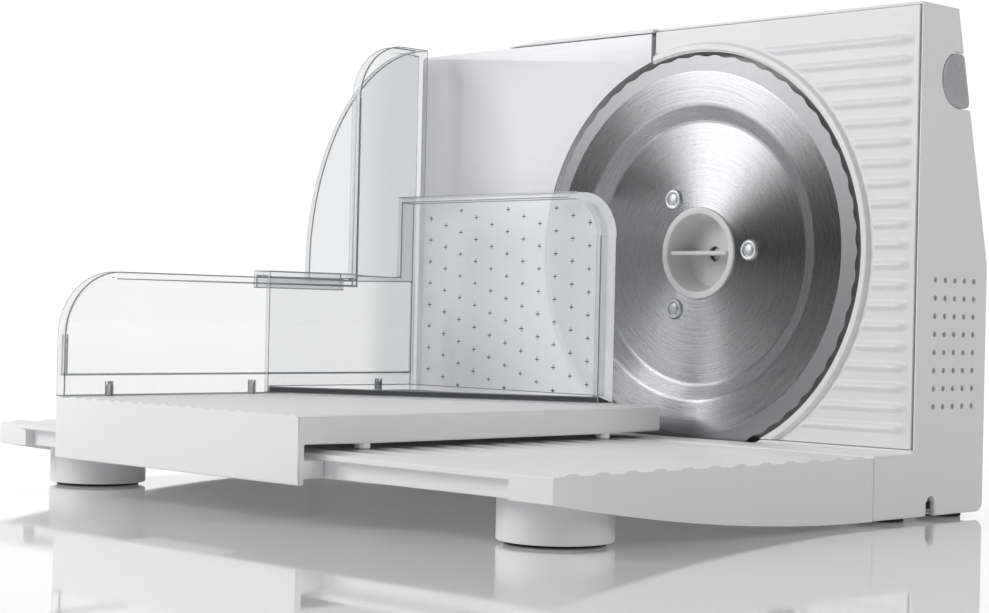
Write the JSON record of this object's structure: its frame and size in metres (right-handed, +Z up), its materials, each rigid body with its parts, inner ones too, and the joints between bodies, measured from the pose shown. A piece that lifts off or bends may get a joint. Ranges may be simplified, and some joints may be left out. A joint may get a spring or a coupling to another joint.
{
  "type": "food slicer",
  "caption": "Compact electric food slicer with a round toothed blade, steel-faced stop plate, ribbed table, sliding carriage with a clear wall and guard, and a clear spiked food holder.",
  "frame": {"origin": "on the worktop under the middle of the overall footprint", "axes": "+X to the right along the blade plane, +Y away from the user, +Z up"},
  "size_m": [0.3542, 0.2814, 0.2045],
  "materials": {
    "white_plastic": "satin moulded",
    "clear_plastic": "clear moulded",
    "grey_plastic": "satin moulded",
    "button_plastic": "satin moulded",
    "gear_plastic": "machined nylon",
    "dark_plastic": "moulded",
    "brushed_steel": "brushed",
    "plain_steel": "turned",
    "lamination": "stacked sheet",
    "copper_wire": "enamelled",
    "bronze": "sintered",
    "rubber": "matte"
  },
  "bodies": {
    "housing": {"housing_shell": "white_plastic", "front_panel": "white_plastic", "bulkhead": "white_plastic", "rear_cover": "white_plastic", "bottom_plate": "white_plastic", "cover_screw_1": "plain_steel", "cover_screw_2": "plain_steel", "cover_screw_3": "plain_steel", "cover_screw_4": "plain_steel", "slide_table": "white_plastic", "table_foot_right": "white_plastic", "table_foot_left": "white_plastic", "foot_pad_right": "rubber", "foot_pad_left": "rubber", "rubber_foot_front_right": "rubber", "rubber_foot_rear_right": "rubber", "rubber_foot_front_left": "rubber", "rubber_foot_rear_left": "rubber", "motor_stator": "lamination", "field_coil_right": "copper_wire", "field_coil_left": "copper_wire", "motor_bracket_lower": "plain_steel", "motor_bracket_upper": "plain_steel", "bush_lower": "bronze", "bush_upper": "bronze", "top_bearing": "grey_plastic", "brush_holder_right": "dark_plastic", "brush_holder_left": "dark_plastic", "gear_pin": "plain_steel", "blade_spindle": "plain_steel", "switch_body": "dark_plastic", "button_spring": "plain_steel", "guide_rod_left": "plain_steel", "guide_rod_right": "plain_steel"},
    "armature": {"worm_shaft": "plain_steel", "armature_core": "lamination", "commutator": "copper_wire", "cooling_fan": "dark_plastic"},
    "reduction": {"reduction_gear": "gear_plastic"},
    "blade": {"blade": "brushed_steel", "blade_gear": "gear_plastic", "blade_rivet_1": "brushed_steel", "blade_rivet_2": "brushed_steel", "blade_rivet_3": "brushed_steel"},
    "cap": {"blade_cap": "grey_plastic"},
    "button": {"switch_button": "button_plastic"},
    "dial": {"dial_knob": "grey_plastic", "dial_spindle": "plain_steel"},
    "stop": {"stop_plate_facing": "brushed_steel", "stop_plate_carrier": "white_plastic"},
    "carriage": {"carriage_deck": "white_plastic", "carriage_wall": "clear_plastic", "wall_screw_1": "plain_steel", "wall_screw_2": "plain_steel", "wall_screw_3": "plain_steel"},
    "holder": {"food_holder": "clear_plastic"}
  },
  "joints": [
    {"name": "armature_spin", "type": "hinge", "parent": "housing", "child": "armature", "pos_m": [0.13456, 0.1018, 0.06], "axis": [0, 0, 1], "continuous": true},
    {"name": "reduction_spin", "type": "hinge", "parent": "housing", "child": "reduction", "pos_m": [0.10949, 0.1018, 0.11823], "axis": [0, 1, 0], "continuous": true},
    {"name": "blade_spin", "type": "hinge", "parent": "housing", "child": "blade", "pos_m": [0.06385, 0.0718, 0.106], "axis": [0, 1, 0], "continuous": true},
    {"name": "cap_turn", "type": "hinge", "parent": "blade", "child": "cap", "pos_m": [0.06385, 0.0718, 0.106], "axis": [0, 1, 0], "range_deg": [0, 90]},
    {"name": "button_press", "type": "slide", "parent": "housing", "child": "button", "axis": [-1, 0, 0], "range_m": [0, 0.003], "stiffness_N_per_m": 400, "deforming": ["button_spring"]},
    {"name": "dial_turn", "type": "hinge", "parent": "housing", "child": "dial", "pos_m": [0.04985, 0.1247, 0.026], "axis": [0, 1, 0], "range_deg": [0, 300]},
    {"name": "stop_slide", "type": "slide", "parent": "housing", "child": "stop", "axis": [0, 1, 0], "range_m": [0, 0.015]},
    {"name": "carriage_slide", "type": "slide", "parent": "housing", "child": "carriage", "axis": [1, 0, 0], "range_m": [-0.053, 0.097]},
    {"name": "holder_slide", "type": "slide", "parent": "carriage", "child": "holder", "axis": [0, 1, 0], "range_m": [-0.077, 0]}
  ],
  "couplings": [
    {"joint": "reduction_spin", "follows": "armature_spin", "ratio": 0.095238},
    {"joint": "blade_spin", "follows": "armature_spin", "ratio": -0.027211},
    {"joint": "dial_turn", "follows": "stop_slide", "rad_per_m": 349}
  ]
}
